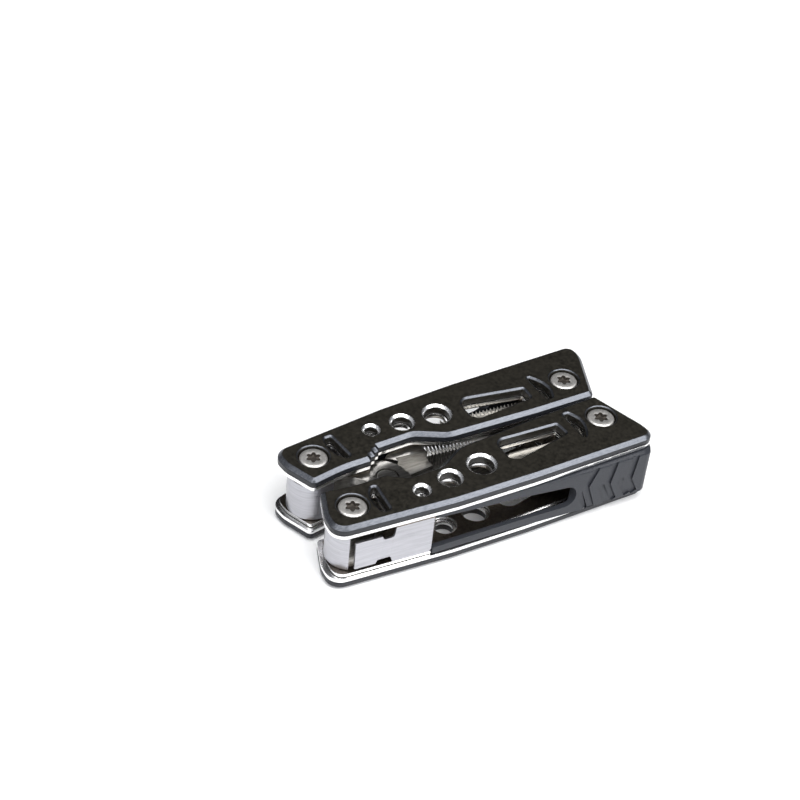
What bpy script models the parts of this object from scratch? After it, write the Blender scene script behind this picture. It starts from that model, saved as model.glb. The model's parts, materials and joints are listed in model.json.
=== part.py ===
"""Folding multi tool: plier head, two swinging handles and eight fold-out tools.

Handle coordinates, in millimetres: u runs from the tang pivot along the handle, v runs outward from
the plane between the handles, and z runs up from the underside. The rear handle is the one at +Y.
"""
import math

import bmesh
import bpy
from mathutils import Matrix, Vector

MM = 0.001

# Overall
THICKNESS = 22.0
MIDDLE = THICKNESS / 2
PIVOT_SPACING = 80.0
ORIGIN_U = 41.342        # the box centre, measured from the tang pivots
FRONT = -1
REAR = 1

# Handle stack, from the outside in
SCALE_THICK = 2.5
LINER_THICK = 1.1
FRAME_THICK = 0.9
STACK_GAP = 0.2
LINER_TOP = THICKNESS - SCALE_THICK - STACK_GAP
FRAME_TOP = LINER_TOP - LINER_THICK - STACK_GAP
INSIDE_TOP = FRAME_TOP - FRAME_THICK

# Pivots, as (u, v)
TANG_PIVOT = (0.0, 10.48)
TOOL_PIVOT = (PIVOT_SPACING, 9.01)
JAW_PIVOT = (17.0, 0.0)

# Screws and posts
HEAD_RADIUS = 3.8
HEAD_HEIGHT = 1.35
HEAD_SINK = 0.35
SEAT_RADIUS = 4.25
SEAT_DEPTH = 1.85
SHANK_RADIUS = 1.5
POST_RADIUS = 2.42
BORE_RADIUS = 2.5
RECESS_DEPTH = 0.95

# Edges of the scales
RIM_CHAMFER = 1.1
HOLE_CHAMFER = 0.75
SLOT_CHAMFER = 0.55

# Plier head
JAW_THICK = 11.7
JAW_SPLIT = 0.2
HUB_RADIUS = 6.5
RIVET_RADIUS = 3.0
BARREL_RADIUS = 6.7
REST_OPENING = math.radians(4.4)
HUB_CLEARANCE = 0.5
TAPER_START = 9.0
TAPER_ANGLE = math.radians(5.0)
CUTTER_SINK = 3.2
STOP_FLAT = (-3.4, 15.28)

# Fold-out tools
TOOL_THICK = 2.2
WASHER_THICK = 0.5
TOOL_GAP = 0.24
TOOL_PITCH = TOOL_THICK + WASHER_THICK + 2 * TOOL_GAP

ARC_STEP = math.radians(24.0)
CIRCLE_SIDES = 20
HOLE_SIDES = 18
SMALLEST_RADIUS = 0.05
SMOOTH_ANGLE = math.radians(32.0)

# Outlines: corners as (u, v, corner radius)
HANDLE = [
    (-4.7, 1.75, 1.5), (5.5, 3.3, 30.0), (13.6, 3.2, 1.3), (19.2, 7.0, 4.0), (28.8, 7.0, 5.0),
    (37.2, 2.35, 8.0), (66.0, 0.75, 0.0), (83.9, 0.3, 1.5), (89.3, 17.2, 12.0), (89.45, 22.1, 3.3),
    (50.0, 21.6, 0.0), (26.0, 20.65, 0.0), (-8.75, 17.35, 4.2), (-8.25, 10.6, 8.0),
]
RIBS = [        # three upright ribs that take the place of the rear handle's third and fourth corners
    (13.5, 3.2, 0.6), (14.3, 4.4, 0.0), (15.5, 4.5, 0.4), (16.1, 5.6, 0.0), (17.3, 5.75, 0.4),
    (17.95, 6.85, 0.0),
]
REAR_END = [(84.2, 0.35, 1.5), (91.0, 16.0, 8.0), (91.35, 21.75, 3.4)]    # the rear handle's tool end
FRAME_INSIDE = [
    (-4.0, 3.0, 1.5), (5.5, 4.4, 0.0), (14.0, 4.4, 1.3), (19.0, 8.1, 4.0), (29.0, 8.1, 5.0),
    (37.5, 3.4, 8.0), (66.0, 1.7, 0.0), (83.0, 1.3, 1.5), (87.3, 16.6, 0.0), (87.3, 18.15, 0.8),
    (19.85, 18.15, 0.0),
]
FLANGE = FRAME_INSIDE + [
    (19.85, 19.86, 0.0), (8.6, 18.8, 0.0), (8.6, 17.1, 0.0), (4.7, 16.9, 0.0), (3.7, 14.7, 0.5),
    (-6.6, 14.2, 3.0), (-7.0, 10.8, 5.0),
]
INNER_PLATE = FRAME_INSIDE + [(19.85, 19.35, 0.0), (-7.4, 16.8, 3.4), (-7.0, 10.8, 8.0)]
ROUND_HOLES = [(19.2, 13.3, 1.8), (28.45, 12.5, 2.75), (38.97, 11.4, 3.45)]        # as (u, v, radius)
WINDOW = [(47.5, 5.08, 2.4), (66.75, 6.4, 0.7), (67.1, 10.6, 0.6), (47.35, 14.2, 2.6)]
LEFT_SLOT = [
    (8.95, 6.75, 0.5), (8.15, 15.75, 0.6), (6.0, 15.75, 0.9), (5.45, 11.6, 6.0), (6.5, 8.0, 4.0),
    (7.9, 6.6, 0.4),
]
RIGHT_SLOT = [
    (70.75, 3.85, 0.5), (72.4, 3.75, 0.9), (73.85, 7.4, 3.5), (73.4, 10.2, 4.0), (72.4, 12.4, 4.0),
    (71.3, 13.95, 0.4), (70.75, 13.95, 0.3),
]
INSERT = [
    (20.15, 18.3, 0.0), (20.15, 19.75, 0.0), (46.0, 21.35, 60.0), (66.0, 23.2, 60.0),
    (86.9, 24.15, 2.4), (89.5, 20.4, 3.0), (88.4, 18.45, 0.4), (65.5, 18.45, 0.0), (62.5, 21.2, 0.0),
]
INSERT_LOW = 3.95
INSERT_HIGH = 17.75
# Elevations: corners as (u, z, corner radius)
INSERT_SLOT = [(15.0, 17.3, 0.0), (63.7, 13.85, 3.4), (63.7, 6.95, 3.4), (15.0, 6.15, 0.0)]
WEB = [
    (-2.6, 6.4, 0.3), (3.5, 6.4, 0.3), (4.0, 7.6, 0.5), (7.7, 7.6, 0.6), (8.4, 5.5, 0.3),
    (19.7, 5.5, 1.2), (19.7, 17.6, 0.0), (8.7, 17.6, 0.0), (8.3, 14.4, 0.8), (5.3, 14.4, 0.8),
    (5.0, 15.6, 0.3), (-2.6, 15.6, 0.3),
]
WEB_START = (0.0, 18.02)
WEB_SLOPE = math.atan2(3.3, 34.75)
WEB_THICK = 0.7
# The sunk top of the wire cutter, drawn like a nose
CUTTER_STEP = [(6.0, -1.0, 0.0), (6.0, 5.0, 0.0), (15.6, 3.0, 0.0), (15.6, -1.0, 0.0)]
# Grip grooves, each a bent line of (u, z) points
GROOVES = [
    [(69.6, 19.0), (66.5, 12.05), (69.7, 3.0)], [(65.3, 10.1), (67.7, 5.0)],
    [(75.4, 19.0), (73.7, 10.5), (76.3, 4.9)], [(71.9, 10.1), (74.5, 4.5)],
    [(82.3, 19.0), (81.0, 9.7), (83.2, 5.3)], [(78.3, 10.4), (81.0, 5.3)],
]
GROOVE_WIDTH = 0.6
GROOVE_DEPTH = 0.5
GROOVE_FACE = (0.0, 20.2)        # where the grip's ribbed face, continued, meets u = 0
GROOVE_SLOPE = math.atan2(0.95, 20.9)

MATERIALS = {
    "black_anodised": ((0.030, 0.027, 0.024), 0.45, 0.6),
    "polished_steel": ((0.78, 0.78, 0.78), 0.22, 1.0),
    "satin_steel": ((0.60, 0.59, 0.60), 0.35, 1.0),
    "screw_steel": ((0.50, 0.47, 0.44), 0.38, 1.0),
    "tool_steel": ((0.45, 0.43, 0.41), 0.35, 1.0),
    "slate_plastic": ((0.080, 0.083, 0.092), 0.55, 0.0),
}


def clear_scene():
    for obj in list(bpy.data.objects):
        bpy.data.objects.remove(obj, do_unlink=True)


def make_collection(name):
    collection = bpy.data.collections.new(name)
    bpy.context.scene.collection.children.link(collection)
    return collection


def make_materials():
    made = {}
    for name, (colour, roughness, metallic) in MATERIALS.items():
        material = bpy.data.materials.new(name)
        material.use_nodes = True
        shader = material.node_tree.nodes["Principled BSDF"]
        shader.inputs["Base Color"].default_value = (*colour, 1.0)
        shader.inputs["Roughness"].default_value = roughness
        shader.inputs["Metallic"].default_value = metallic
        made[name] = material
    return made


def grown(corners, offset):
    """The corners moved outward by offset, each with its unit directions in and out."""
    area = sum(a.cross(b) for a, b in zip(corners, corners[1:] + corners[:1]))
    side = math.copysign(1.0, area)
    result = []
    for i, corner in enumerate(corners):
        before = (corner - corners[i - 1]).normalized()
        after = (corners[(i + 1) % len(corners)] - corner).normalized()
        out = Vector((before.y, -before.x)) * side
        next_out = Vector((after.y, -after.x)) * side
        mitre = (out + next_out) / (1.0 + out.dot(next_out))
        result.append((corner + mitre * offset, before, after, side))
    return result


def rounded(outline, offset=0.0):
    """The points of an outline of (x, y, radius) corners, grown outward by offset."""
    points = []
    for (corner, before, after, side), (_, _, radius) in zip(
        grown([Vector(c[:2]) for c in outline], offset), outline
    ):
        bend = before.angle_signed(after, 0.0) * -1.0
        if radius == 0.0 or abs(bend) < 1e-4:
            points.append(corner)
            continue
        turn = math.copysign(1.0, bend)
        radius = max(radius + offset * turn * side, SMALLEST_RADIUS)
        start = corner - before * radius * math.tan(abs(bend) / 2)
        spoke = Vector((before.y, -before.x)) * radius * turn
        steps = math.ceil(abs(bend) / ARC_STEP)
        for k in range(steps + 1):
            turned = Matrix.Rotation(bend * k / steps, 2) @ spoke
            points.append(start - spoke + turned)
    return points


def circle(centre, radius, sides=CIRCLE_SIDES):
    """A round outline as (x, y, 0) corners."""
    angles = [2 * math.pi * (k + 0.5) / sides for k in range(sides)]
    return [(centre[0] + radius * math.cos(a), centre[1] + radius * math.sin(a), 0.0) for a in angles]


def star(centre, inner=1.38, outer=2.02, lobes=6):
    """A six-lobed driver recess."""
    middle = (inner + outer) / 2
    swing = (outer - inner) / 2
    outline = []
    for k in range(lobes * 3):
        angle = 2 * math.pi * k / (lobes * 3)
        radius = middle + swing * math.cos(lobes * angle)
        outline.append((centre[0] + radius * math.cos(angle), centre[1] + radius * math.sin(angle), 0.0))
    return outline


def on_side(outline, side):
    """A handle outline as model X and Y on one side of the middle plane."""
    return [(u - ORIGIN_U, side * v, radius) for u, v, radius in outline]


def flipped(levels):
    return [(THICKNESS - z, offset) for z, offset in levels]


def close_rings(bm, rings):
    """Fill the flat face bounded by the rings, holes included."""
    edges = []
    for ring in rings:
        edges += [bm.edges.get((a, b)) for a, b in zip(ring, ring[1:] + ring[:1])]
    bmesh.ops.triangle_fill(bm, use_beauty=True, use_dissolve=False, edges=edges)


def turn_outward(bm):
    """Point every face of a closed mesh outward."""
    bmesh.ops.recalc_face_normals(bm, faces=bm.faces)
    if bm.calc_volume(signed=True) < 0.0:
        bmesh.ops.reverse_faces(bm, faces=bm.faces)


def plate_mesh(walls, pockets=()):
    """A flat piece. A wall is (outline, [(z, offset), ...]) from one face to the other: the first wall
    is the outside and the others are holes. A pocket is a wall that ends on its own floor."""
    bm = bmesh.new()
    tops = []
    bottoms = []
    for outline, levels in [*walls, *pockets]:
        rings = [[bm.verts.new((p.x, p.y, z)) for p in rounded(outline, o)] for z, o in levels]
        for ring, below in zip(rings, rings[1:]):
            for i in range(len(ring)):
                bm.faces.new((ring[i - 1], ring[i], below[i], below[i - 1]))
        tops.append(rings[0])
        bottoms.append(rings[-1])
    close_rings(bm, tops)
    close_rings(bm, bottoms[:len(walls)])
    for floor in bottoms[len(walls):]:
        close_rings(bm, [floor])
    turn_outward(bm)
    return bm


def straight(outline, z_low, z_high, offset=0.0):
    return (outline, [(z_high, offset), (z_low, offset)])


def make_object(name, bm, pivot, parent, material):
    """Turn a mesh in millimetres into an object whose origin is at the pivot, given in metres."""
    bmesh.ops.scale(bm, vec=(MM, MM, MM), verts=bm.verts)
    bmesh.ops.translate(bm, vec=-pivot, verts=bm.verts)
    mesh = bpy.data.meshes.new(name)
    bm.to_mesh(mesh)
    bm.free()
    mesh.shade_smooth()
    mesh.set_sharp_from_angle(angle=SMOOTH_ANGLE)
    obj = bpy.data.objects.new(name, mesh)
    if material is not None:
        mesh.materials.append(material)
    obj.parent = parent
    if parent is None:
        obj.location = pivot
    return obj


class Builder:
    """Adds pieces to one moving body of the tool."""

    def __init__(self, body, point, parts, cutters, materials):
        self.pivot = Vector(((point[0] - ORIGIN_U) * MM, point[1] * MM, 0.0))
        self.parts = parts
        self.cutters = cutters
        self.materials = materials
        self.empty = bpy.data.objects.new(body + "_axis", None)
        self.empty.location = self.pivot
        parts.objects.link(self.empty)

    def add(self, name, bm, material):
        obj = make_object(name, bm, self.pivot, self.empty, self.materials[material])
        self.parts.objects.link(obj)
        return obj

    def combine(self, obj, name, bm, operation):
        """Cut the mesh out of the object, or join it on."""
        tool = make_object(name, bm, self.pivot, self.empty, None)
        self.cutters.objects.link(tool)
        tool.hide_render = True
        tool.display_type = "WIRE"
        modifier = obj.modifiers.new(name, "BOOLEAN")
        modifier.operation = operation
        modifier.object = tool
        modifier.solver = "EXACT"


def handle_outline(side):
    """The outline of a handle's outer plates: the rear one has ribs and a slanted tool end."""
    return HANDLE[:2] + RIBS + HANDLE[4:7] + REAR_END + HANDLE[10:] if side == REAR else HANDLE


def scale_openings(side):
    """The holes of a scale, each as (outline, chamfer)."""
    openings = [(circle((u, v), radius, HOLE_SIDES), HOLE_CHAMFER) for u, v, radius in ROUND_HOLES]
    openings += [(outline, SLOT_CHAMFER) for outline in (LEFT_SLOT, RIGHT_SLOT, WINDOW)]
    return [(on_side(outline, side), chamfer) for outline, chamfer in openings]


def scale_mesh(side, is_top):
    """The anodised outer plate, with chamfered holes and sunk screw seats."""
    inner = THICKNESS - SCALE_THICK
    walls = [(on_side(handle_outline(side), side), [
        (THICKNESS, -RIM_CHAMFER), (THICKNESS - RIM_CHAMFER, 0.0), (inner, 0.0)])]
    for outline, chamfer in scale_openings(side):
        walls.append((outline, [(THICKNESS, chamfer), (THICKNESS - chamfer, 0.0), (inner, 0.0)]))
    seat = THICKNESS - SEAT_DEPTH
    clearance = BORE_RADIUS + 0.25 - SEAT_RADIUS
    for pivot in (TANG_PIVOT, TOOL_PIVOT):
        outline = on_side(circle(pivot, SEAT_RADIUS), side)
        walls.append((outline, [(THICKNESS, 0.3), (THICKNESS - 0.3, 0.0), (seat, 0.0),
                                (seat, clearance), (inner, clearance)]))
    if not is_top:
        walls = [(outline, flipped(levels)) for outline, levels in walls]
    return plate_mesh(walls)


def sheet_mesh(outline, side, z_low, z_high, shrink):
    """A flat steel sheet with the handle's openings, made smaller all round by shrink."""
    walls = [straight(on_side(outline, side), z_low, z_high)]
    for hole, _ in scale_openings(side):
        walls.append(straight(hole, z_low, z_high, -shrink))
    for pivot in (TANG_PIVOT, TOOL_PIVOT):
        walls.append(straight(on_side(circle(pivot, BORE_RADIUS), side), z_low, z_high))
    return plate_mesh(walls)


def stand_up(bm, side, start, slope):
    """Turn a mesh drawn as (u, z, thickness) so that its thickness runs inward from start."""
    to_upright = Matrix(((1, 0, 0, 0), (0, 0, -1, 0), (0, 1, 0, 0), (0, 0, 0, 1)))
    turn = Matrix.Rotation(slope, 4, "Z")
    move = Matrix.Translation((start[0] - ORIGIN_U, start[1], 0.0))
    mirror = Matrix.Diagonal((1, side, 1, 1))
    bmesh.ops.transform(bm, matrix=mirror @ move @ turn @ to_upright, verts=bm.verts)
    turn_outward(bm)
    return bm


def web_mesh(side):
    """The outer wall of the spring frame: a fixed part and a spring finger on the tang barrel."""
    bm = plate_mesh([straight(WEB, 0.0, WEB_THICK)])
    return stand_up(bm, side, WEB_START, WEB_SLOPE)


def slot_mesh(side):
    bm = plate_mesh([straight(INSERT_SLOT, 0.0, 12.0)])
    return stand_up(bm, side, (0.0, 27.0), 0.0)


def band(line, width):
    """The outline of a bent line of the given width."""
    points = [Vector(point) for point in line]
    left = []
    right = []
    for i, point in enumerate(points):
        before = (point - points[i - 1]).normalized() if i > 0 else None
        after = (points[i + 1] - point).normalized() if i + 1 < len(points) else before
        before = before or after
        across = Vector((-before.y - after.y, before.x + after.x)).normalized()
        across *= width / 2 / across.dot(Vector((-before.y, before.x)))
        left.append(point + across)
        right.append(point - across)
    return [(p.x, p.y, 0.0) for p in left + right[::-1]]


def groove_mesh(side, line):
    """One grip groove, as a standing wall that reaches GROOVE_DEPTH into the ribbed face."""
    bm = plate_mesh([straight(band(line, GROOVE_WIDTH), 0.0, 3.0)])
    start = (GROOVE_FACE[0], GROOVE_FACE[1] + 3.0 - GROOVE_DEPTH)
    return stand_up(bm, side, start, GROOVE_SLOPE)


def screw_mesh(point, side):
    """A flat-headed screw with a six-lobed recess, seated from above."""
    top = THICKNESS - HEAD_SINK
    low = top - HEAD_HEIGHT
    thin = SHANK_RADIUS - HEAD_RADIUS
    outline = on_side(circle(point, HEAD_RADIUS), side)
    levels = [(top, -0.9), (top - 0.08, -0.4), (top - 0.4, 0.0), (low, 0.0), (low, thin), (12.2, thin)]
    recess = (on_side(star(point), side), [(top, 0.0), (top - RECESS_DEPTH, 0.0)])
    return plate_mesh([(outline, levels)], [recess])


def post_mesh(point, side):
    """The headed post that the screw threads into, seated from below."""
    low = HEAD_SINK
    high = low + HEAD_HEIGHT
    thin = POST_RADIUS - HEAD_RADIUS
    end = THICKNESS - SEAT_DEPTH - 0.2
    outline = on_side(circle(point, HEAD_RADIUS), side)
    levels = [(low, -0.9), (low + 0.08, -0.4), (low + 0.4, 0.0), (high, 0.0), (high, thin), (end, thin)]
    recess = (on_side(star(point), side), [(low, 0.0), (low + RECESS_DEPTH, 0.0)])
    bm = plate_mesh([(outline, levels)], [recess])
    return bm


def bore_mesh(point, side):
    """The hole in a post for the screw's shank."""
    outline = on_side(circle(point, SHANK_RADIUS + 0.15), side)
    return plate_mesh([straight(outline, 11.6, THICKNESS)])


def ring_mesh(point, side, inner, outer, z_low, z_high):
    return plate_mesh([
        straight(on_side(circle(point, outer), side), z_low, z_high),
        straight(on_side(circle(point, inner), side), z_low, z_high),
    ])


def build_handle(builder, prefix, side):
    """One handle: two scales, two liners, the spring frame, the inner plate, the grip and the pins."""
    for is_top in (True, False):
        level = "top" if is_top else "bottom"
        builder.add(f"{prefix}_scale_{level}", scale_mesh(side, is_top), "black_anodised")
        low = LINER_TOP - LINER_THICK if is_top else THICKNESS - LINER_TOP
        liner = sheet_mesh(handle_outline(side), side, low, low + LINER_THICK, 0.25)
        builder.add(f"{prefix}_liner_{level}", liner, "polished_steel")
    frame = builder.add(
        f"{prefix}_spring_frame", sheet_mesh(FLANGE, side, INSIDE_TOP, FRAME_TOP, -0.6), "satin_steel")
    builder.combine(frame, f"{prefix}_web_join", web_mesh(side), "UNION")
    low = THICKNESS - FRAME_TOP
    inner = sheet_mesh(INNER_PLATE, side, low, low + FRAME_THICK, -0.6)
    builder.add(f"{prefix}_inner_plate", inner, "satin_steel")
    walls = [straight(on_side(INSERT, side), INSERT_LOW, INSERT_HIGH)]
    grip = builder.add(f"{prefix}_grip_insert", plate_mesh(walls), "slate_plastic")
    builder.combine(grip, f"{prefix}_slot_cut", slot_mesh(side), "DIFFERENCE")
    for number, line in enumerate(GROOVES):
        builder.combine(grip, f"{prefix}_groove_cut_{number}", groove_mesh(side, line), "DIFFERENCE")
    for place, point in (("tang", TANG_PIVOT), ("tool", TOOL_PIVOT)):
        builder.add(f"{prefix}_{place}_screw", screw_mesh(point, side), "screw_steel")
        post = builder.add(f"{prefix}_{place}_post", post_mesh(point, side), "screw_steel")
        builder.combine(post, f"{prefix}_{place}_bore_cut", bore_mesh(point, side), "DIFFERENCE")
    for number in range(3):
        high = INSIDE_TOP - TOOL_GAP * 2 - TOOL_THICK - number * TOOL_PITCH
        washer = ring_mesh(TOOL_PIVOT, side, BORE_RADIUS, 5.0, high - WASHER_THICK, high)
        builder.add(f"{prefix}_tool_washer_{number + 1}", washer, "polished_steel")


def root_end(low_v=3.11, high_v=14.91):
    """The round end that every fold-out tool has at its pivot."""
    return [(85.9, high_v, 5.85), (85.9, low_v, 5.85)]


def teeth(start, end, pitch, depth):
    """Saw teeth from start to end, cut to the left of that direction."""
    start = Vector(start)
    along = Vector(end) - start
    count = round(along.length / pitch)
    step = along / count
    inward = Vector((-along.y, along.x)).normalized() * depth
    corners = []
    for k in range(count):
        tip = start + step * k
        root = tip + step * 0.5 + inward
        corners += [(tip.x, tip.y, 0.0), (root.x, root.y, 0.0)]
    corners.append((end[0], end[1], 0.0))
    return corners


def tool_outlines():
    """Each tool's outline and layer, layer 0 on top, for the front and the rear handle."""
    opener = root_end() + [
        (73.0, 3.6, 3.0), (65.0, 7.5, 3.0), (52.0, 6.1, 1.0), (50.2, 8.0, 0.8), (50.6, 11.2, 0.8),
        (53.6, 11.4, 0.5), (54.6, 9.7, 0.9), (57.6, 9.8, 1.0), (58.8, 13.0, 1.2), (63.0, 14.2, 3.0),
        (74.0, 14.8, 4.0)]
    knife = root_end() + [
        (73.0, 3.1, 3.0), (67.0, 9.3, 3.0), (36.0, 9.3, 0.0), (20.0, 11.6, 0.4), (30.0, 14.5, 16.0),
        (68.5, 14.5, 1.0), (69.6, 13.2, 0.6), (73.0, 14.8, 3.0)]
    phillips = root_end() + [
        (72.0, 3.1, 3.0), (66.0, 7.3, 3.0), (45.5, 7.3, 0.6), (43.0, 8.7, 0.3), (41.8, 8.9, 0.3),
        (41.8, 10.1, 0.3), (43.0, 10.3, 0.3), (45.5, 11.7, 0.6), (68.0, 11.7, 3.0), (72.0, 14.6, 3.0)]
    small_driver = root_end() + [
        (72.0, 3.1, 3.0), (66.0, 7.2, 3.0), (50.0, 7.2, 2.0), (44.0, 7.8, 0.2), (44.0, 10.6, 0.2),
        (50.0, 11.2, 2.0), (68.0, 11.2, 3.0), (72.0, 14.6, 3.0)]
    saw = root_end() + [
        (74.0, 3.2, 3.0), (68.0, 4.8, 3.0), (54.0, 6.0, 4.0), (43.0, 9.2, 2.0), (41.4, 12.6, 0.4)
    ] + teeth((42.0, 13.9), (66.6, 11.2), 1.0, -1.2) + [(69.6, 13.6, 2.0), (74.0, 14.8, 3.0)]
    file = root_end() + [
        (73.0, 3.1, 3.0), (68.0, 9.3, 2.0), (34.0, 9.3, 0.6), (34.0, 14.5, 0.6), (72.0, 14.5, 3.0)]
    wide_driver = root_end() + [
        (72.0, 3.1, 3.0), (66.0, 7.6, 3.0), (46.0, 7.6, 2.0), (38.5, 8.4, 0.2), (38.5, 13.6, 0.2),
        (46.0, 13.0, 2.0), (68.0, 13.0, 3.0), (72.0, 14.6, 3.0)]
    awl = root_end() + [
        (72.0, 3.1, 3.0), (66.0, 8.2, 3.0), (52.0, 8.6, 4.0), (40.0, 10.4, 0.2), (52.0, 12.6, 4.0),
        (68.0, 12.6, 3.0), (72.0, 14.6, 3.0)]
    front = [("can_opener", opener), ("knife_blade", knife),
             ("phillips_driver", phillips), ("small_flat_driver", small_driver)]
    rear = [("saw_blade", saw), ("file", file),
            ("wide_flat_driver", wide_driver), ("awl", awl)]
    return {FRONT: front, REAR: rear}


def build_tools(side, parts, cutters, materials):
    for layer, (name, outline) in enumerate(tool_outlines()[side]):
        point = (TOOL_PIVOT[0], side * TOOL_PIVOT[1])
        builder = Builder(name, point, parts, cutters, materials)
        high = INSIDE_TOP - TOOL_GAP - layer * TOOL_PITCH
        walls = [
            straight(on_side(outline, side), high - TOOL_THICK, high),
            straight(on_side(circle(TOOL_PIVOT, BORE_RADIUS), side), high - TOOL_THICK, high),
        ]
        builder.add(name, plate_mesh(walls), "tool_steel")


def turned(outline, angle):
    """An outline drawn from the jaw pivot along +u, turned by angle and put in its place."""
    result = []
    for u, v, radius in outline:
        point = Matrix.Rotation(angle, 2) @ Vector((u, v))
        result.append((JAW_PIVOT[0] + point.x, JAW_PIVOT[1] + point.y, radius))
    return result


def nose_outline():
    """One jaw's nose when closed: the wire cutter, a step, then teeth to the tip."""
    corners = [(0.5, 0.15, 0.0), (15.5, 0.15, 0.0)]
    corners += teeth((15.5, 3.0), (33.5, 0.45), 1.1, 0.5)
    corners += [(36.2, 0.15, 0.3), (36.6, 2.2, 0.5), (27.0, 4.3, 20.0), (15.0, 7.55, 8.0), (4.0, 7.3, 3.0)]
    return corners


def arm_outline():
    """The arm from the tang barrel to the hub, on the side where v is positive."""
    return [(0.0, 5.2, 2.0), (8.0, 4.2, 4.0), (11.5, 0.0, 3.0), (12.5, -4.7, 5.0), (19.5, -5.9, 5.0),
            (23.4, 0.0, 4.5), (20.0, 6.0, 5.0), (11.5, 8.0, 6.0), (4.5, 15.2, 3.0), (0.0, 16.2, 2.0)]


def stop_mesh(side):
    """A block that cuts the flat on the tang barrel where the spring finger rests."""
    bm = plate_mesh([straight([(0.0, 0.0, 0.0), (16.0, 0.0, 0.0), (16.0, THICKNESS, 0.0), (0.0, THICKNESS, 0.0)],
                              0.0, 5.0)])
    out = Matrix.Rotation(WEB_SLOPE, 2) @ Vector((0.0, 5.0))
    return stand_up(bm, side, (STOP_FLAT[0] + out.x, STOP_FLAT[1] + out.y), WEB_SLOPE)


def build_jaw(builder, name, tang_side):
    """A plier half. Its nose lies on the other side from its tang; the two hubs are half as thick."""
    nose_side = -tang_side
    is_lower = tang_side == FRONT
    low = MIDDLE - JAW_THICK / 2
    high = MIDDLE + JAW_THICK / 2
    barrel = circle(TANG_PIVOT, BARREL_RADIUS, 28)
    jaw = builder.add(name, plate_mesh([straight(on_side(barrel, tang_side), low, high)]), "satin_steel")
    arm = straight(on_side(arm_outline(), tang_side), low + 0.02, high - 0.02)
    builder.combine(jaw, name + "_arm", plate_mesh([arm]), "UNION")
    nose = straight(on_side(turned(nose_outline(), REST_OPENING), nose_side), low + 0.04, high - 0.04)
    builder.combine(jaw, name + "_nose", plate_mesh([nose]), "UNION")
    step = on_side(turned(CUTTER_STEP, REST_OPENING), nose_side)
    other_low = MIDDLE - JAW_SPLIT / 2 if is_lower else 0.0
    other_high = THICKNESS if is_lower else MIDDLE + JAW_SPLIT / 2
    cuts = {
        "hub": straight(on_side(circle(JAW_PIVOT, HUB_RADIUS + HUB_CLEARANCE, 28), 1), other_low, other_high),
        "rivet": straight(on_side(circle(JAW_PIVOT, RIVET_RADIUS + 0.15), 1), 0.0, THICKNESS),
        "bore": straight(on_side(circle(TANG_PIVOT, BORE_RADIUS), tang_side), 0.0, THICKNESS),
        "cutter": straight(step, high - CUTTER_SINK, THICKNESS),
    }
    for cut, wall in cuts.items():
        builder.combine(jaw, f"{name}_{cut}_cut", plate_mesh([wall]), "DIFFERENCE")
    builder.combine(jaw, name + "_stop_cut", stop_mesh(tang_side), "DIFFERENCE")
    for side in (-1, 1):
        builder.combine(jaw, f"{name}_taper_cut_{side + 1}", taper_mesh(side), "DIFFERENCE")


def taper_mesh(side):
    """A sloping block that thins the noses towards their tips, from above or from below."""
    bm = bmesh.new()
    bmesh.ops.create_cube(bm, size=1.0)
    bmesh.ops.scale(bm, vec=(40.0, 30.0, 8.0), verts=bm.verts)
    start = JAW_PIVOT[0] + TAPER_START - ORIGIN_U
    bmesh.ops.translate(bm, vec=(20.0, 0.0, 4.0 * side), verts=bm.verts)
    turn = Matrix.Rotation(TAPER_ANGLE * side, 4, "Y")
    move = Matrix.Translation((start, 0.0, MIDDLE + side * (JAW_THICK / 2 + 0.05)))
    bmesh.ops.transform(bm, matrix=move @ turn, verts=bm.verts)
    return bm


def build():
    clear_scene()
    parts = make_collection("multi_tool")
    cutters = make_collection("cutters")
    materials = make_materials()
    context = (parts, cutters, materials)
    for prefix, side in (("front", FRONT), ("rear", REAR)):
        tang = (TANG_PIVOT[0], side * TANG_PIVOT[1])
        build_handle(Builder(prefix + "_handle", tang, *context), prefix, side)
        build_tools(side, *context)
    front_jaw = Builder("front_jaw", JAW_PIVOT, *context)
    build_jaw(front_jaw, "front_jaw", FRONT)
    reach = JAW_THICK / 2 - 0.15
    rivet = plate_mesh([(on_side(circle(JAW_PIVOT, RIVET_RADIUS), 1), [
        (MIDDLE + reach, -0.3), (MIDDLE + reach - 0.3, 0.0),
        (MIDDLE - reach + 0.3, 0.0), (MIDDLE - reach, -0.3)])])
    front_jaw.add("jaw_rivet", rivet, "satin_steel")
    build_jaw(Builder("rear_jaw", JAW_PIVOT, *context), "rear_jaw", REAR)


build()
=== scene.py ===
"""Looks of the folding multi tool: finely rounded pieces with procedural metal and moulded plastic.

Handle coordinates are in millimetres: u runs from the tang pivot along the handle, v runs outward from
the plane between the handles, and z runs up from the underside. The rear handle is the one at +Y.
"""
import json
import math

import bmesh
import bpy
from mathutils import Matrix, Vector


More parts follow.
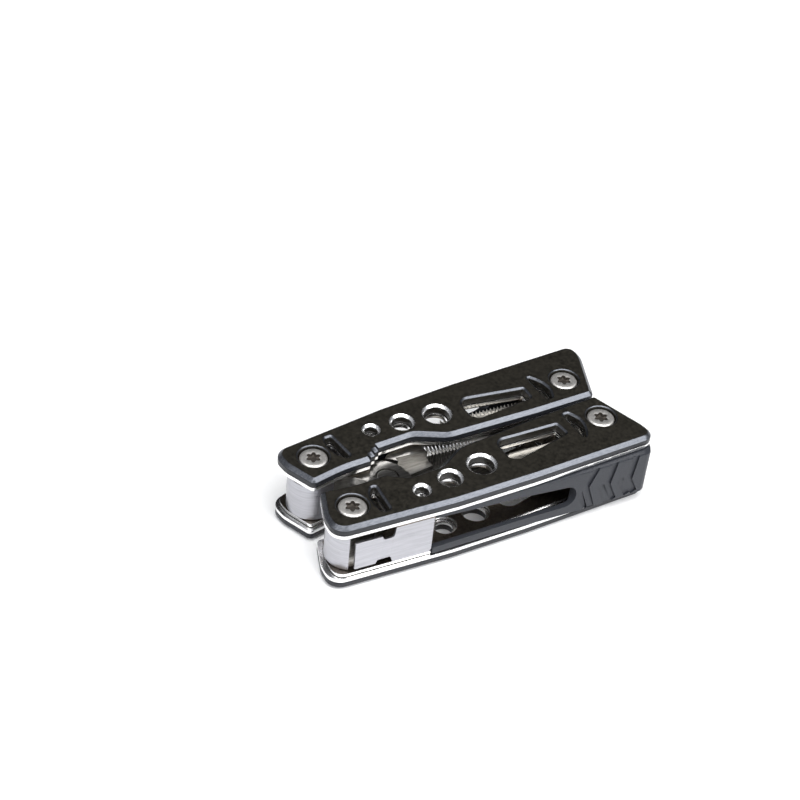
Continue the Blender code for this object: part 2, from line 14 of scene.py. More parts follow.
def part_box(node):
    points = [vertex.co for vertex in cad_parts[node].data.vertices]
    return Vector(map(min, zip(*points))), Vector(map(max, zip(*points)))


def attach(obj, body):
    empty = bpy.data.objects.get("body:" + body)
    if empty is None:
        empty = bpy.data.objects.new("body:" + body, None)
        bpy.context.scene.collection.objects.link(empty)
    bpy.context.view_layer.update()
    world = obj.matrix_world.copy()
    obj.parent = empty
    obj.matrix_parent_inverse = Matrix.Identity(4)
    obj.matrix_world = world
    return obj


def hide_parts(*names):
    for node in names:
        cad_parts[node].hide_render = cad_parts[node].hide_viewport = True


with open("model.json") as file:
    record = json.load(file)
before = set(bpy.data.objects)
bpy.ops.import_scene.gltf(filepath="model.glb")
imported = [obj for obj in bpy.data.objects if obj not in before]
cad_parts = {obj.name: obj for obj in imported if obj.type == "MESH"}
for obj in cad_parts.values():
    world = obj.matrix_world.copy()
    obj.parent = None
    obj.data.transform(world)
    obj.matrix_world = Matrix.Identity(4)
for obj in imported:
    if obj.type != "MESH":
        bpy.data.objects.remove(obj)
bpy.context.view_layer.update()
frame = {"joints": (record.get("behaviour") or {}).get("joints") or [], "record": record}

MM = 0.001
JOINTS = {joint["name"]: joint for joint in frame["joints"]}
TANG_PLACE = Vector(JOINTS["rear_handle_swing"]["pos_m"]) / MM
TOOL_PLACE = Vector(JOINTS["awl_hinge"]["pos_m"]) / MM
ORIGIN_U = -TANG_PLACE.x
TANG_PIVOT = (0.0, TANG_PLACE.y)
TOOL_PIVOT = (TOOL_PLACE.x + ORIGIN_U, TOOL_PLACE.y)
JAW_PIVOT = (JOINTS["jaw_hinge"]["pos_m"][0] / MM + ORIGIN_U, 0.0)
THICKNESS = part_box("rear_scale_top")[1].z / MM
MIDDLE = THICKNESS / 2
FRONT = -1
REAR = 1

# Handle stack, from the outside in
SCALE_THICK = 2.5
LINER_THICK = 1.1
FRAME_THICK = 0.9
STACK_GAP = 0.2
LINER_TOP = THICKNESS - SCALE_THICK - STACK_GAP
FRAME_TOP = LINER_TOP - LINER_THICK - STACK_GAP
INSIDE_TOP = FRAME_TOP - FRAME_THICK

HEAD_RADIUS = 3.8
HEAD_HEIGHT = 1.35
HEAD_SINK = 0.35
SEAT_RADIUS = 4.25
SEAT_DEPTH = 1.85
SEAT_CHAMFER = 0.3
SHANK_RADIUS = 1.5
POST_RADIUS = 2.42
BORE_RADIUS = 2.5
PIN_ROOM = 0.15         # between a pin and the hole it sits in
SEAT_HOLE_ROOM = 0.25
SCREW_END = 12.2
POST_BORE_START = 11.6
RECESS_DEPTH = 0.95
RECESS_INNER = 1.38
RECESS_OUTER = 2.02
RECESS_LOBES = 6
POINTS_PER_LOBE = 10

RIM_CHAMFER = 1.1
HOLE_CHAMFER = 0.75
SLOT_CHAMFER = 0.55
LINER_INSET = 0.25      # of the liner's outline from the scale's
FRAME_INSET = -0.6      # its openings are wider than the scale's

JAW_THICK = 11.7
JAW_SPLIT = 0.2
HUB_RADIUS = 6.5
RIVET_RADIUS = 3.0
BARREL_RADIUS = 6.7
REST_OPENING = math.radians(4.4)
HUB_CLEARANCE = 0.5
TAPER_START = 9.0
TAPER_ANGLE = math.radians(5.0)
TAPER_BLOCK = (40.0, 30.0, 8.0)
CUTTER_SINK = 3.2
STOP_FLAT = (-3.4, 15.28)
STOP_BLOCK = (16.0, 5.0)        # length and thickness of the block that cuts the flat
ARM_INSET = 0.02        # keeps the arm's and the nose's faces off the barrel's
NOSE_INSET = 0.04
JAW_EDGE = 0.2
RIVET_INSET = 0.15
RIVET_CHAMFER = 0.3
TOOTH_PITCH = 1.1
TOOTH_DEPTH = 0.5
TOOTH_LINE = ((15.5, 3.0), (33.5, 0.45))        # along a nose, as (x, v)

TOOL_THICK = 2.2
WASHER_THICK = 0.5
TOOL_GAP = 0.24
TOOL_PITCH = TOOL_THICK + WASHER_THICK + 2 * TOOL_GAP
WASHER_RADIUS = 5.0
WASHER_COUNT = 3
GRIND_LINE = (11.6, 15.0)       # the v where the knife's grind starts and the v it passes
GRIND_ENDS = (15.0, 68.2)
EDGE_HALF = 0.1

ARC_STEP = math.radians(7.5)
CIRCLE_SIDES = 64
SMALLEST_RADIUS = 0.03
EDGE = 0.1              # reach of the small flats that soften an edge
FINE_EDGE = 0.05
GRIP_EDGE = 0.3
STRAIGHT_ANGLE = math.radians(170.0)
FAR = 9.0               # an offset past every wall, on the side where the piece or its hole goes on
SMOOTH_ANGLE = math.radians(34.0)

HANDLE = [
    (-4.7, 1.75, 1.5), (5.5, 3.3, 30.0), (13.6, 3.2, 1.3), (19.2, 7.0, 4.0), (28.8, 7.0, 5.0),
    (37.2, 2.35, 8.0), (66.0, 0.75, 0.0), (83.9, 0.3, 1.5), (89.3, 17.2, 12.0), (89.45, 22.1, 3.3),
    (50.0, 21.6, 0.0), (26.0, 20.65, 0.0), (-8.75, 17.35, 4.2), (-8.25, 10.6, 8.0),
]
RIBS = [        # three upright ribs that take the place of the rear handle's third and fourth corners
    (13.5, 3.2, 0.6), (14.3, 4.4, 0.0), (15.5, 4.5, 0.4), (16.1, 5.6, 0.0), (17.3, 5.75, 0.4),
    (17.95, 6.85, 0.0),
]
REAR_END = [(84.2, 0.35, 1.5), (91.0, 16.0, 8.0), (91.35, 21.75, 3.4)]    # the rear handle's tool end
FRAME_INSIDE = [
    (-4.0, 3.0, 1.5), (5.5, 4.4, 0.0), (14.0, 4.4, 1.3), (19.0, 8.1, 4.0), (29.0, 8.1, 5.0),
    (37.5, 3.4, 8.0), (66.0, 1.7, 0.0), (83.0, 1.3, 1.5), (87.3, 16.6, 0.0), (87.3, 18.15, 0.8),
    (19.85, 18.15, 0.0),
]
FLANGE = FRAME_INSIDE + [
    (19.85, 19.86, 0.0), (8.6, 18.8, 0.0), (8.6, 17.1, 0.0), (4.7, 16.9, 0.0), (3.7, 14.7, 0.5),
    (-6.6, 14.2, 3.0), (-7.0, 10.8, 5.0),
]
INNER_PLATE = FRAME_INSIDE + [(19.85, 19.35, 0.0), (-7.4, 16.8, 3.4), (-7.0, 10.8, 8.0)]
ROUND_HOLES = [(19.2, 13.3, 1.8), (28.45, 12.5, 2.75), (38.97, 11.4, 3.45)]        # as (u, v, radius)
WINDOW = [(47.5, 5.08, 2.4), (66.75, 6.4, 0.7), (67.1, 10.6, 0.6), (47.35, 14.2, 2.6)]
LEFT_SLOT = [
    (8.95, 6.75, 0.5), (8.15, 15.75, 0.6), (6.0, 15.75, 0.9), (5.45, 11.6, 6.0), (6.5, 8.0, 4.0),
    (7.9, 6.6, 0.4),
]
RIGHT_SLOT = [
    (70.75, 3.85, 0.5), (72.4, 3.75, 0.9), (73.85, 7.4, 3.5), (73.4, 10.2, 4.0), (72.4, 12.4, 4.0),
    (71.3, 13.95, 0.4), (70.75, 13.95, 0.3),
]
INSERT = [
    (20.15, 18.3, 0.0), (20.15, 19.75, 0.0), (46.0, 21.35, 60.0), (66.0, 23.2, 60.0),
    (86.9, 24.15, 2.4), (89.5, 20.4, 3.0), (88.4, 18.45, 0.4), (65.5, 18.45, 0.0), (62.5, 21.2, 0.0),
]
INSERT_LOW = 3.95
INSERT_HIGH = 17.75
# Elevations: corners as (u, z, corner radius)
INSERT_SLOT = [(15.0, 17.3, 0.0), (63.7, 13.85, 3.4), (63.7, 6.95, 3.4), (15.0, 6.15, 0.0)]
INSERT_SLOT_START = (0.0, 27.0)         # outside the grip; the slot runs inward from here
INSERT_SLOT_REACH = 12.0
WEB = [
    (-2.6, 6.4, 0.3), (3.5, 6.4, 0.3), (4.0, 7.6, 0.5), (7.7, 7.6, 0.6), (8.4, 5.5, 0.3),
    (19.7, 5.5, 1.2), (19.7, 17.6, 0.0), (8.7, 17.6, 0.0), (8.3, 14.4, 0.8), (5.3, 14.4, 0.8),
    (5.0, 15.6, 0.3), (-2.6, 15.6, 0.3),
]
WEB_START = (0.0, 18.02)
WEB_SLOPE = math.atan2(3.3, 34.75)
WEB_THICK = 0.7
# The sunk top of the wire cutter, drawn like a nose
CUTTER_STEP = [(6.0, -1.0, 0.0), (6.0, 5.0, 0.0), (15.6, 3.0, 0.0), (15.6, -1.0, 0.0)]
# The slope cut along the toothed edge, as (x, v, depth below the top) at its two ends
BITE_LOW = ((15.4, 2.3, 2.2), (37.2, -0.3, 1.1))
BITE_HIGH = ((15.4, 5.9, 0.0), (37.2, 1.4, 0.0))
BITE_TALL = 4.0
# The V grooves on that slope, as (half width, depth) at the low and the high end
FLUTE_LOW = (0.42, 0.75)
FLUTE_HIGH = (0.3, 0.16)
FLUTE_CROWN = 0.25
FLUTE_REACH = 0.92      # of the slope at the hub end, and this much less at the tip:
FLUTE_FADE = 0.25
# Grip grooves, each a bent line of (u, z) points
GROOVES = [
    [(69.6, 19.0), (66.5, 12.05), (69.7, 3.0)], [(65.3, 10.1), (67.7, 5.0)],
    [(75.4, 19.0), (73.7, 10.5), (76.3, 4.9)], [(71.9, 10.1), (74.5, 4.5)],
    [(82.3, 19.0), (81.0, 9.7), (83.2, 5.3)], [(78.3, 10.4), (81.0, 5.3)],
]
GROOVE_WIDTH = 0.6
GROOVE_DEPTH = 0.5
GROOVE_TALL = 3.0       # from the groove's floor to well outside the ribbed face
GROOVE_FACE = (0.0, 20.2)        # where the grip's ribbed face, continued, meets u = 0
GROOVE_SLOPE = math.atan2(0.95, 20.9)

# Grain of the materials: the parts of the noise that the colour and the roughness follow
NOISE_ROUGHNESS = 0.6
COLOUR_RANGE = (0.3, 0.7)
VALUE_RANGE = (0.25, 0.75)
GLOSS_SPREAD = 0.06

# Camera
LENS = 79.2
CAMERA_PLACE = Vector((-0.18051 - ORIGIN_U * MM, -0.28871, 0.30689 + THICKNESS * MM))
CAMERA_AZIMUTH = math.radians(34.57)
CAMERA_ELEVATION = math.radians(39.23)
CAMERA_ROLL = math.radians(6.0)

# Studio, in metres and watts. It is dark on the side that the top faces mirror
FLOOR_SIZE = 3.0
FLOOR_WHITE = 0.97
FLOOR_GLOW = 0.05
DARK_SIDE = Vector((0.44, 0.64, 0.63)).normalized()
SKY_BRIGHT = 0.52
SKY_DARK = 0.03
SKY_FADE = (0.2, 0.8)   # cosines of the angle from the dark side where the fade starts and ends
SKY_COLOUR = (0.93, 0.95, 1.0, 1.0)
LIGHTS = [      # as (name, place, width, height, power)
    ("key_light", (0.46, -0.66, 0.68), 0.55, 0.4, 4.4),
    ("side_light", (-0.75, -0.15, 0.55), 0.4, 0.4, 1.3),
    ("top_light", (-0.15, -0.35, 1.2), 1.0, 1.0, 16.5),
]


# ---- Outlines and flat pieces

def grown(corners, offset):
    """The corners moved outward by offset, each with its unit directions in and out."""
    area = sum(a.cross(b) for a, b in zip(corners, corners[1:] + corners[:1]))
    side = math.copysign(1.0, area)
    result = []
    for i, corner in enumerate(corners):
        before = (corner - corners[i - 1]).normalized()
        after = (corners[(i + 1) % len(corners)] - corner).normalized()
        out = Vector((before.y, -before.x)) * side
        next_out = Vector((after.y, -after.x)) * side
        mitre = (out + next_out) / (1.0 + out.dot(next_out))
        result.append((corner + mitre * offset, before, after, side))
    return result


def rounded(outline, offset=0.0):
    """The points of an outline of (x, y, radius) corners, grown outward by offset."""
    points = []
    for (corner, before, after, side), (_, _, radius) in zip(
        grown([Vector(c[:2]) for c in outline], offset), outline
    ):
        bend = before.angle_signed(after, 0.0) * -1.0
        if radius == 0.0 or abs(bend) < 1e-4:
            points.append(corner)
            continue
        turn = math.copysign(1.0, bend)
        radius = max(radius + offset * turn * side, SMALLEST_RADIUS)
        start = corner - before * radius * math.tan(abs(bend) / 2)
        spoke = Vector((before.y, -before.x)) * radius * turn
        steps = math.ceil(abs(bend) / ARC_STEP)
        for k in range(steps + 1):
            turned_spoke = Matrix.Rotation(bend * k / steps, 2) @ spoke
            points.append(start - spoke + turned_spoke)
    return points


def circle(centre, radius):
    """A round outline as (x, y, 0) corners."""
    angles = [2 * math.pi * k / CIRCLE_SIDES for k in range(CIRCLE_SIDES)]
    return [(centre[0] + radius * math.cos(a), centre[1] + radius * math.sin(a), 0.0) for a in angles]


def star(centre):
    """A six-lobed driver recess."""
    middle = (RECESS_INNER + RECESS_OUTER) / 2
    swing = (RECESS_OUTER - RECESS_INNER) / 2
    count = RECESS_LOBES * POINTS_PER_LOBE
    outline = []
    for k in range(count):
        angle = 2 * math.pi * k / count
        radius = middle + swing * math.cos(RECESS_LOBES * angle)
        outline.append((centre[0] + radius * math.cos(angle), centre[1] + radius * math.sin(angle), 0.0))
    return outline


def on_side(outline, side):
    """A handle outline as model X and Y on one side of the middle plane."""
    return [(u - ORIGIN_U, side * v, radius) for u, v, radius in outline]


def softened(levels, start_out, end_out, edge):
    """The wall profile (z, offset) with its corners and its two rims cut by small flats.

    Gives (z, offset, band), where band numbers the stretch of the given profile that follows. The
    flats reach along a stretch by edge, or by less than half of a short one."""
    path = [Vector((levels[0][0], levels[0][1] + start_out))]
    path += [Vector(level) for level in levels]
    path.append(Vector((levels[-1][0], levels[-1][1] + end_out)))
    result = []
    for i in range(1, len(path) - 1):
        back = path[i - 1] - path[i]
        ahead = path[i + 1] - path[i]
        if back.length < 1e-6 or ahead.length < 1e-6 or back.angle(ahead) > STRAIGHT_ANGLE:
            result.append((*path[i], i - 1))
            continue
        reach = min(edge, back.length * 0.4, ahead.length * 0.4)
        first = path[i] + back.normalized() * reach
        last = path[i] + ahead.normalized() * reach
        middle = path[i] * 0.4 + (first + last) * 0.3
        for point in (first, middle, last):
            result.append((*point, min(i - 1, len(levels) - 2)))
    return result


def close_rings(bm, rings, slot=0):
    """Fill the flat face bounded by the rings, holes included."""
    edges = []
    for ring in rings:
        edges += [bm.edges.get((a, b)) for a, b in zip(ring, ring[1:] + ring[:1])]
    made = bmesh.ops.triangle_fill(bm, use_beauty=True, use_dissolve=False, edges=edges)
    for item in made["geom"]:
        if isinstance(item, bmesh.types.BMFace):
            item.material_index = slot


def plate_mesh(walls, pockets=(), edge=EDGE, paint=None):
    """A flat piece with softened edges. A wall is (outline, [(z, offset), ...]) from one face to the
    other: the first is the outside and the others are holes. A pocket ends on its own floor. paint
    gives {(wall number, band number): material slot}."""
    paint = paint or {}
    bm = bmesh.new()
    tops = []
    bottoms = []
    for number, (outline, levels) in enumerate([*walls, *pockets]):
        start_out = -FAR if number == 0 else FAR
        end_out = FAR if 0 < number < len(walls) else -FAR
        profile = softened(levels, start_out, end_out, edge) if edge else [
            (*level, min(i, len(levels) - 2)) for i, level in enumerate(levels)]
        rings = [[bm.verts.new((p.x, p.y, z)) for p in rounded(outline, o)] for z, o, _ in profile]
        for ring, below, (_, _, band) in zip(rings, rings[1:], profile):
            for i in range(len(ring)):
                face = bm.faces.new((ring[i - 1], ring[i], below[i], below[i - 1]))
                face.material_index = paint.get((number, band), 0)
        tops.append(rings[0])
        bottoms.append(rings[-1])
    close_rings(bm, tops)
    close_rings(bm, bottoms[:len(walls)])
    for number, floor in enumerate(bottoms[len(walls):]):
        close_rings(bm, [floor], paint.get((len(walls) + number, "floor"), 0))
    bmesh.ops.recalc_face_normals(bm, faces=bm.faces)
    return bm


def straight(outline, z_low, z_high, offset=0.0):
    return (outline, [(z_high, offset), (z_low, offset)])


def flipped(levels):
    return [(THICKNESS - z, offset) for z, offset in levels]


def painted(bm, slot):
    """The mesh with all of its faces in one material slot."""
    for face in bm.faces:
        face.material_index = slot
    return bm


def joined(first, second, operation):
    """The Boolean of two meshes, both used up."""
    objects = []
    for bm in (first, second):
        mesh = bpy.data.meshes.new("scratch")
        bm.to_mesh(mesh)
        bm.free()
        obj = bpy.data.objects.new("scratch", mesh)
        bpy.context.scene.collection.objects.link(obj)
        objects.append(obj)
    modifier = objects[0].modifiers.new("join", "BOOLEAN")
    modifier.operation = operation
    modifier.object = objects[1]
    modifier.solver = "EXACT"
    graph = bpy.context.evaluated_depsgraph_get()
    result = bmesh.new()
    result.from_object(objects[0], graph)
    for obj in objects:
        mesh = obj.data
        bpy.data.objects.remove(obj)
        bpy.data.meshes.remove(mesh)
    return result


# ---- Materials

def new_material(name, base, roughness, metallic, specular=0.5):
    """A Principled material with its constant values set on the shader."""
    material = bpy.data.materials.new(name)
    material.use_nodes = True
    shader = material.node_tree.nodes["Principled BSDF"]
    shader.inputs["Base Color"].default_value = (*base, 1.0)
    shader.inputs["Roughness"].default_value = roughness
    shader.inputs["Metallic"].default_value = metallic
    shader.inputs["Specular IOR Level"].default_value = specular
    return material, material.node_tree, shader


def add_noise(tree, scale, detail, stretch):
    """Noise over the object's own coordinates, in metres, squeezed by stretch."""
    place = tree.nodes.new("ShaderNodeTexCoord")
    mapping = tree.nodes.new("ShaderNodeMapping")
    mapping.inputs["Scale"].default_value = stretch
    noise = tree.nodes.new("ShaderNodeTexNoise")
    noise.inputs["Scale"].default_value = scale
    noise.inputs["Detail"].default_value = detail
    noise.inputs["Roughness"].default_value = NOISE_ROUGHNESS
    tree.links.new(place.outputs["Object"], mapping.inputs["Vector"])
    tree.links.new(mapping.outputs["Vector"], noise.inputs["Vector"])
    return noise.outputs["Fac"]


def add_ramp(tree, source, low, high):
    """A colour ramp from low to high over the middle of the source."""
    ramp = tree.nodes.new("ShaderNodeValToRGB")
    for element, position, colour in zip(ramp.color_ramp.elements, COLOUR_RANGE, (low, high)):
        element.position = position
        element.color = (*colour, 1.0)
    tree.links.new(source, ramp.inputs["Fac"])
    return ramp.outputs["Color"]


def add_range(tree, source, low, high):
    """A value from low to high over the middle of the source."""
    spread = tree.nodes.new("ShaderNodeMapRange")
    spread.inputs["From Min"].default_value = VALUE_RANGE[0]
    spread.inputs["From Max"].default_value = VALUE_RANGE[1]
    spread.inputs["To Min"].default_value = low
    spread.inputs["To Max"].default_value = high
    tree.links.new(source, spread.inputs["Value"])
    return spread.outputs["Result"]


def add_bump(tree, shader, source, distance, strength):
    bump = tree.nodes.new("ShaderNodeBump")
    bump.inputs["Distance"].default_value = distance
    bump.inputs["Strength"].default_value = strength
    tree.links.new(source, bump.inputs["Height"])
    tree.links.new(bump.outputs["Normal"], shader.inputs["Normal"])


def grained(name, low, high, roughness, metallic, scale, stretch=(1, 1, 1), specular=0.5,
            bump=0.00001, strength=0.3, detail=4.0):
    """A material whose colour, roughness and bump follow one fine grain, bump in metres."""
    material, tree, shader = new_material(name, low, roughness, metallic, specular)
    grain = add_noise(tree, scale, detail, stretch)
    tree.links.new(add_ramp(tree, grain, low, high), shader.inputs["Base Color"])
    gloss = add_range(tree, grain, roughness - GLOSS_SPREAD, roughness + GLOSS_SPREAD)
    tree.links.new(gloss, shader.inputs["Roughness"])
    add_bump(tree, shader, grain, bump, strength)
    return material


def make_materials():
    """Every material, by the short name that place takes."""
    brushed = (0.05, 1.0, 1.0)
    return {
        "black": grained(
            "black_anodising", (0.0030, 0.0026, 0.0016), (0.0260, 0.0232, 0.0175), roughness=0.38,
            metallic=0.0, scale=1300.0, specular=0.65, bump=0.00004, strength=0.45, detail=8.0),
        # The scales' side band as a dimmer copy of the anodising: painted shade
        "side": grained(
            "side_painted_shade", (0.012, 0.013, 0.016), (0.024, 0.026, 0.031), roughness=0.34,
            metallic=0.0, scale=2600.0, stretch=brushed, specular=0.32),
        # The chamfers of the black anodising in a lighter grey metal: painted sheen
        "rim": grained(
            "rim_painted_sheen", (0.078, 0.083, 0.095), (0.165, 0.173, 0.192), roughness=0.36,
            metallic=1.0, scale=2400.0, stretch=(0.3, 1.0, 1.0), bump=0.00003, strength=0.5, detail=8.0),
        "bare": grained(
            "bare_chamfer", (0.90, 0.90, 0.90), (0.98, 0.98, 0.98), roughness=0.26,
            metallic=1.0, scale=2500.0),
        "liner": grained(
            "polished_liner", (0.62, 0.61, 0.60), (0.80, 0.79, 0.78), roughness=0.22,
            metallic=1.0, scale=2600.0, stretch=brushed),
        # Near-white steel for edges and flutes: a painted highlight
        "edge": grained(
            "edge_painted_highlight", (0.92, 0.92, 0.92), (0.99, 0.99, 0.99), roughness=0.2,
            metallic=1.0, scale=2600.0, stretch=brushed),
        "plate": grained(
            "satin_plate", (0.37, 0.37, 0.395), (0.48, 0.48, 0.51), roughness=0.32,
            metallic=1.0, scale=2200.0, stretch=(0.06, 0.06, 1.0)),
        # A darker brownish steel for the plates within the handle: painted shade
        "shaded_inside": grained(
            "inner_plate", (0.13, 0.113, 0.095), (0.22, 0.190, 0.160), roughness=0.36,
            metallic=1.0, scale=1500.0),
        "jaw": grained(
            "jaw_steel", (0.22, 0.212, 0.200), (0.42, 0.41, 0.39), roughness=0.32,
            metallic=1.0, scale=1800.0, stretch=(0.08, 1.0, 1.0)),
        "screw": grained(
            "screw_steel", (0.78, 0.76, 0.73), (0.95, 0.93, 0.90), roughness=0.5,
            metallic=1.0, scale=2600.0, bump=0.00002, strength=0.4),
        # A darker steel for the driver recesses: painted shade
        "recess": grained(
            "recess_painted_shade", (0.10, 0.09, 0.08), (0.20, 0.18, 0.16), roughness=0.5,
            metallic=1.0, scale=2600.0),
        "tool": grained(
            "tool_steel", (0.22, 0.208, 0.185), (0.42, 0.40, 0.36), roughness=0.32,
            metallic=1.0, scale=2000.0, stretch=brushed),
        "slate": grained(
            "slate_plastic", (0.024, 0.026, 0.032), (0.038, 0.041, 0.049), roughness=0.46,
            metallic=0.0, scale=3000.0, specular=0.32, bump=0.00002, strength=0.3),
    }


# ---- Placing pieces

BODY_OF = {
    node: body for body, nodes in frame["record"]["behaviour"]["bodies"].items() for node in nodes
}


def place(bm, node, *materials, pivot=(0.0, 0.0, 0.0)):
    """Turn a mesh in millimetres into the visible piece for a CAD node."""
    pivot = Vector(pivot)
    bmesh.ops.translate(bm, vec=-pivot, verts=bm.verts)
    bmesh.ops.scale(bm, vec=(MM, MM, MM), verts=bm.verts)
    bmesh.ops.remove_doubles(bm, verts=bm.verts, dist=1e-7)
    bmesh.ops.dissolve_degenerate(bm, edges=bm.edges, dist=1e-7)
    mesh = bpy.data.meshes.new(node + "_look")
    bm.to_mesh(mesh)
    bm.free()
    mesh.shade_smooth()
    mesh.set_sharp_from_angle(angle=SMOOTH_ANGLE)
    for material in materials:
        mesh.materials.append(MATERIALS[material])
    obj = bpy.data.objects.new(node + "_look", mesh)
    obj.location = pivot * MM
    bpy.context.scene.collection.objects.link(obj)
    weighted = obj.modifiers.new("weighted_normals", "WEIGHTED_NORMAL")
    weighted.keep_sharp = True
    bpy.context.view_layer.update()
    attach(obj, BODY_OF[node])
    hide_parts(node)
    return obj


# ---- Handles

def handle_outline(side):
    """The outline of a handle's outer plates: the rear one has ribs and a slanted tool end."""
    return HANDLE[:2] + RIBS + HANDLE[4:7] + REAR_END + HANDLE[10:] if side == REAR else HANDLE


def scale_openings(side):
    """The holes of a scale, each as (outline, chamfer)."""
    openings = [(circle((u, v), radius), HOLE_CHAMFER) for u, v, radius in ROUND_HOLES]
    openings += [(outline, SLOT_CHAMFER) for outline in (LEFT_SLOT, RIGHT_SLOT, WINDOW)]
    return [(on_side(outline, side), chamfer) for outline, chamfer in openings]


def scale_mesh(side, is_top):
    """The anodised outer plate: bare chamfers on the round holes, a grey rim of painted sheen on every
    other edge.
    """
    inner = THICKNESS - SCALE_THICK
    walls = [(on_side(handle_outline(side), side), [
        (THICKNESS, -RIM_CHAMFER), (THICKNESS - RIM_CHAMFER, 0.0), (inner, 0.0)])]
    for outline, chamfer in scale_openings(side):
        walls.append((outline, [(THICKNESS, chamfer), (THICKNESS - chamfer, 0.0), (inner, 0.0)]))
    seat = THICKNESS - SEAT_DEPTH
    narrowing = BORE_RADIUS + SEAT_HOLE_ROOM - SEAT_RADIUS
    for pivot in (TANG_PIVOT, TOOL_PIVOT):
        outline = on_side(circle(pivot, SEAT_RADIUS), side)
        walls.append((outline, [(THICKNESS, SEAT_CHAMFER), (THICKNESS - SEAT_CHAMFER, 0.0), (seat, 0.0),
                                (seat, narrowing), (inner, narrowing)]))
    if not is_top:
        walls = [(outline, flipped(levels)) for outline, levels in walls]
    bare, rim, shade_side_band = 1, 2, 3
    paint = {(number, 0): rim for number in range(len(walls))}
    paint.update({(number + 1, 0): bare for number in range(len(ROUND_HOLES))})
    # The outer wall's side band takes the dimmer anodising of painted shade
    paint[(0, 1)] = shade_side_band
    return plate_mesh(walls, paint=paint)


def sheet_mesh(outline, side, z_low, z_high, shrink):
    """A flat steel sheet with the handle's openings, made smaller all round by shrink."""
    walls = [straight(on_side(outline, side), z_low, z_high)]
    for hole, _ in scale_openings(side):
        walls.append(straight(hole, z_low, z_high, -shrink))
    for pivot in (TANG_PIVOT, TOOL_PIVOT):
        walls.append(straight(on_side(circle(pivot, BORE_RADIUS), side), z_low, z_high))
    # Every wall takes the second material; on the liners and the inner plate that is the painted highlight
    return plate_mesh(walls, paint={(number, 0): 1 for number in range(len(walls))})


def stand_up(bm, side, start, slope):
    """Turn a mesh drawn as (u, z, thickness) so that its thickness runs inward from start."""
    to_upright = Matrix(((1, 0, 0, 0), (0, 0, -1, 0), (0, 1, 0, 0), (0, 0, 0, 1)))
    turn = Matrix.Rotation(slope, 4, "Z")
    move = Matrix.Translation((start[0] - ORIGIN_U, start[1], 0.0))
    mirror = Matrix.Diagonal((1, side, 1, 1))
    bmesh.ops.transform(bm, matrix=mirror @ move @ turn @ to_upright, verts=bm.verts)
    bmesh.ops.recalc_face_normals(bm, faces=bm.faces)
    return bm


def web_mesh(side):
    """The outer wall of the spring frame: a fixed part and a spring finger on the tang barrel."""
    bm = plate_mesh([straight(WEB, 0.0, WEB_THICK)])
    return stand_up(bm, side, WEB_START, WEB_SLOPE)


def frame_mesh(side):
    """The flange, in a darker steel as painted shade, and its brighter web in one piece."""
    flange = sheet_mesh(FLANGE, side, INSIDE_TOP, FRAME_TOP, FRAME_INSET)
    return joined(painted(flange, 0), painted(web_mesh(side), 1), "UNION")


def band(line, width):
    """The outline of a bent line of the given width."""
    points = [Vector(point) for point in line]
    left = []
    right = []
    for i, point in enumerate(points):
        before = (point - points[i - 1]).normalized() if i > 0 else None
        after = (points[i + 1] - point).normalized() if i + 1 < len(points) else before
        before = before or after
        across = Vector((-before.y - after.y, before.x + after.x)).normalized()
        across *= width / 2 / across.dot(Vector((-before.y, before.x)))
        left.append(point + across)
        right.append(point - across)
    return [(p.x, p.y, 0.0) for p in left + right[::-1]]


def groove_mesh(side, line):
    """One grip groove, as a standing wall that reaches into the ribbed face and widens outward."""
    levels = [(GROOVE_TALL, 0.9), (GROOVE_DEPTH, 0.12), (0.0, -0.1)]
    bm = plate_mesh([(band(line, GROOVE_WIDTH), levels)], edge=0.0)
    start = (GROOVE_FACE[0], GROOVE_FACE[1] + GROOVE_TALL - GROOVE_DEPTH)
    return stand_up(bm, side, start, GROOVE_SLOPE)


def largest_part(bm):
    """The mesh without the loose slivers that a cut may leave."""
    parts = []
    waiting = set(bm.faces)
    while waiting:
        part = {waiting.pop()}
        unspread = list(part)
        while unspread:
            face = unspread.pop()
            near = {other for edge in face.edges for other in edge.link_faces} & waiting
            waiting -= near
            part |= near
            unspread += near
        parts.append(part)
    keep = max(parts, key=len)
    bmesh.ops.delete(bm, geom=[face for face in bm.faces if face not in keep], context="FACES")
    return bm


def grip_mesh(side):
    """The moulded outer side, with its long slot and its grooves."""
    grip = plate_mesh([straight(on_side(INSERT, side), INSERT_LOW, INSERT_HIGH)], edge=GRIP_EDGE)
    slot = plate_mesh([straight(INSERT_SLOT, 0.0, INSERT_SLOT_REACH)], edge=0.0)
    grip = joined(grip, stand_up(slot, side, INSERT_SLOT_START, 0.0), "DIFFERENCE")
    for line in GROOVES:
        grip = joined(grip, groove_mesh(side, line), "DIFFERENCE")
    return largest_part(grip)


def head_walls(point, side, face, sign, end, thin):
    """A flat head with a rounded rim and a narrower shank that reaches to end."""
    outline = on_side(circle(point, HEAD_RADIUS), side)
    levels = [(face, -0.95), (face - 0.06 * sign, -0.5), (face - 0.22 * sign, -0.15),
              (face - 0.45 * sign, 0.0), (face - HEAD_HEIGHT * sign, 0.0),
              (face - HEAD_HEIGHT * sign, thin), (end, thin)]
    recess = (on_side(star(point), side), [(face, 0.0), (face - RECESS_DEPTH * sign, 0.0)])
    return [(outline, levels)], [recess]


def screw_mesh(point, side):
    """A screw: the head from above and its shank, the recess in the second material, a darker steel as
    painted shade.
    """
    face = THICKNESS - HEAD_SINK
    walls, pockets = head_walls(point, side, face, 1, SCREW_END, SHANK_RADIUS - HEAD_RADIUS)
    return plate_mesh(walls, pockets, edge=FINE_EDGE, paint={(1, "floor"): 1, (1, 0): 1})


